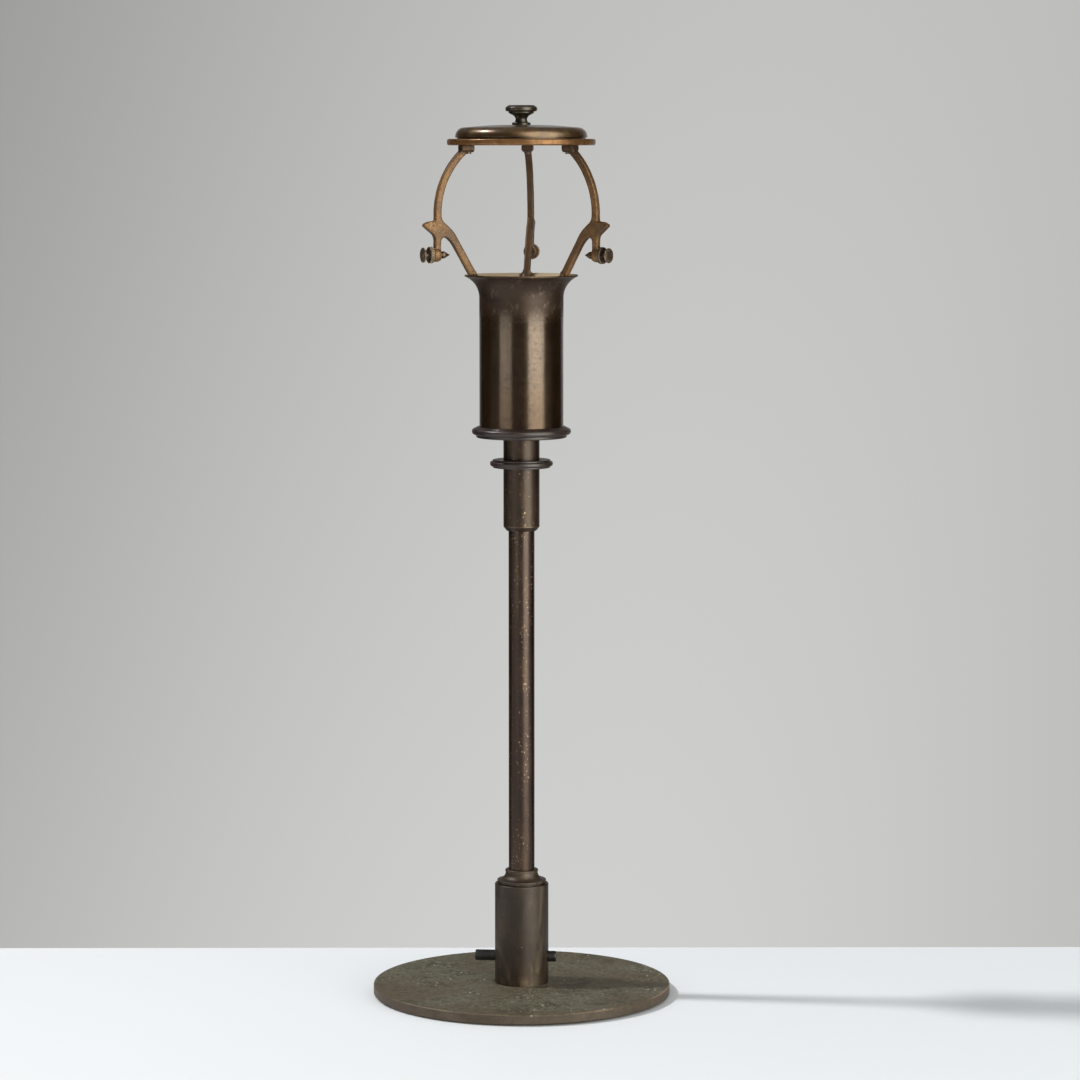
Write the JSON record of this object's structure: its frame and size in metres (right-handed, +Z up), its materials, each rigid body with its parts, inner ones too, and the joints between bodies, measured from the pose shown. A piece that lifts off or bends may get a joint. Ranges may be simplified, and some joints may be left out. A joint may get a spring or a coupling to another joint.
{
  "type": "table lamp stand",
  "caption": "Browned-brass table lamp stand: round foot, push-through switch, stem, flared socket house and arms that carry shades, with screws, ring and lid.",
  "frame": {"origin": "under the middle of the foot, on the surface the stand rests on", "axes": "+Z up along the stem; the rear arm points along +Y; the switch bar lies along X"},
  "size_m": [0.184, 0.184, 0.5487],
  "materials": {
    "dark_brass": "browned, worn to a satin sheen",
    "foot_brass": "mottled olive-brown patina",
    "cast_brass": "ochre-brown cast surface",
    "ring_brass": "golden brown, worn",
    "lid_brass": "dark glossy bronze",
    "knob_brass": "blackened",
    "screw_brass": "dark brown-grey",
    "moulded_resin": "purple-brown, semi-gloss",
    "black_resin": "black, semi-gloss",
    "porcelain": "glazed",
    "bright_brass": "plain",
    "steel": "zinc-grey",
    "felt": "dark green felt",
    "lead_cover": "covered lead"
  },
  "bodies": {
    "stand": {"foot_plate": "foot_brass", "foot_felt": "felt", "foot_washer": "steel", "foot_bolt": "steel", "pillar_tube": "dark_brass", "pillar_plug": "bright_brass", "cord_bush": "black_resin", "switch_body": "black_resin", "switch_contacts": "bright_brass", "pillar_reducer": "dark_brass", "stem_tube": "dark_brass", "stem_lock_nut": "bright_brass", "neck_ferrule": "dark_brass", "neck_tube": "dark_brass", "neck_plug": "bright_brass", "socket_nipple": "bright_brass", "collar_ring": "moulded_resin", "collar_grub_screw": "steel", "lampholder_cap": "porcelain", "lampholder_sleeve": "porcelain", "screw_shell": "bright_brass", "centre_contact": "bright_brass", "lampholder_insert": "porcelain", "holder_terminal_screws": "bright_brass", "lead_wires": "lead_cover"},
    "bar": {"switch_bar": "black_resin", "bar_contact_ring": "bright_brass"},
    "house": {"socket_house": "dark_brass", "house_flange": "moulded_resin", "guide_bush": "bright_brass", "bush_ring_nut": "bright_brass", "rear_arm": "cast_brass", "left_arm": "cast_brass", "right_arm": "cast_brass", "top_ring": "ring_brass", "ring_screws": "screw_brass"},
    "lid": {"lid_dome": "lid_brass", "lid_seat_ring": "lid_brass", "knob_washer": "knob_brass", "lid_knob": "knob_brass", "knob_nut": "knob_brass"},
    "tip_rear": {"screw_tip_rear": "screw_brass"},
    "screw_rear": {"thumb_screw_rear": "screw_brass"},
    "nut_rear": {"lock_nut_rear": "screw_brass"},
    "tip_left": {"screw_tip_left": "screw_brass"},
    "screw_left": {"thumb_screw_left": "screw_brass"},
    "nut_left": {"lock_nut_left": "screw_brass"},
    "tip_right": {"screw_tip_right": "screw_brass"},
    "screw_right": {"thumb_screw_right": "screw_brass"},
    "nut_right": {"lock_nut_right": "screw_brass"}
  },
  "joints": [
    {"name": "switch_push", "type": "slide", "parent": "stand", "child": "bar", "axis": [1, 0, 0], "range_m": [0, 0.0073]},
    {"name": "house_focus", "type": "slide", "parent": "stand", "child": "house", "axis": [0, 0, 1], "range_m": [-0.0133, 0]},
    {"name": "lid_lift", "type": "slide", "parent": "house", "child": "lid", "axis": [0, 0, 1], "range_m": [0, 0.06]},
    {"name": "screw_feed_rear", "type": "slide", "parent": "house", "child": "tip_rear", "axis": [0, 1, 0], "range_m": [-0.002, 0.0005]},
    {"name": "screw_turn_rear", "type": "hinge", "parent": "tip_rear", "child": "screw_rear", "pos_m": [0, 0.0586, 0.4585], "axis": [0, 1, 0], "range_deg": [-1447.2, 367.2]},
    {"name": "nut_turn_rear", "type": "hinge", "parent": "house", "child": "nut_rear", "pos_m": [0, 0.0586, 0.4585], "axis": [0, 1, 0], "range_deg": [0, 180]},
    {"name": "screw_feed_left", "type": "slide", "parent": "house", "child": "tip_left", "axis": [-0.866, -0.5, 0], "range_m": [-0.002, 0.0005]},
    {"name": "screw_turn_left", "type": "hinge", "parent": "tip_left", "child": "screw_left", "pos_m": [-0.05075, -0.0293, 0.4585], "axis": [-0.866, -0.5, 0], "range_deg": [-1447.2, 367.2]},
    {"name": "nut_turn_left", "type": "hinge", "parent": "house", "child": "nut_left", "pos_m": [-0.05075, -0.0293, 0.4585], "axis": [-0.866, -0.5, 0], "range_deg": [0, 180]},
    {"name": "screw_feed_right", "type": "slide", "parent": "house", "child": "tip_right", "axis": [0.866, -0.5, 0], "range_m": [-0.002, 0.0005]},
    {"name": "screw_turn_right", "type": "hinge", "parent": "tip_right", "child": "screw_right", "pos_m": [0.05075, -0.0293, 0.4585], "axis": [0.866, -0.5, 0], "range_deg": [-1447.2, 367.2]},
    {"name": "nut_turn_right", "type": "hinge", "parent": "house", "child": "nut_right", "pos_m": [0.05075, -0.0293, 0.4585], "axis": [0.866, -0.5, 0], "range_deg": [0, 180]}
  ],
  "couplings": [
    {"joint": "screw_turn_rear", "follows": "screw_feed_rear", "rad_per_m": 12566},
    {"joint": "screw_turn_left", "follows": "screw_feed_left", "rad_per_m": 12566},
    {"joint": "screw_turn_right", "follows": "screw_feed_right", "rad_per_m": 12566}
  ]
}
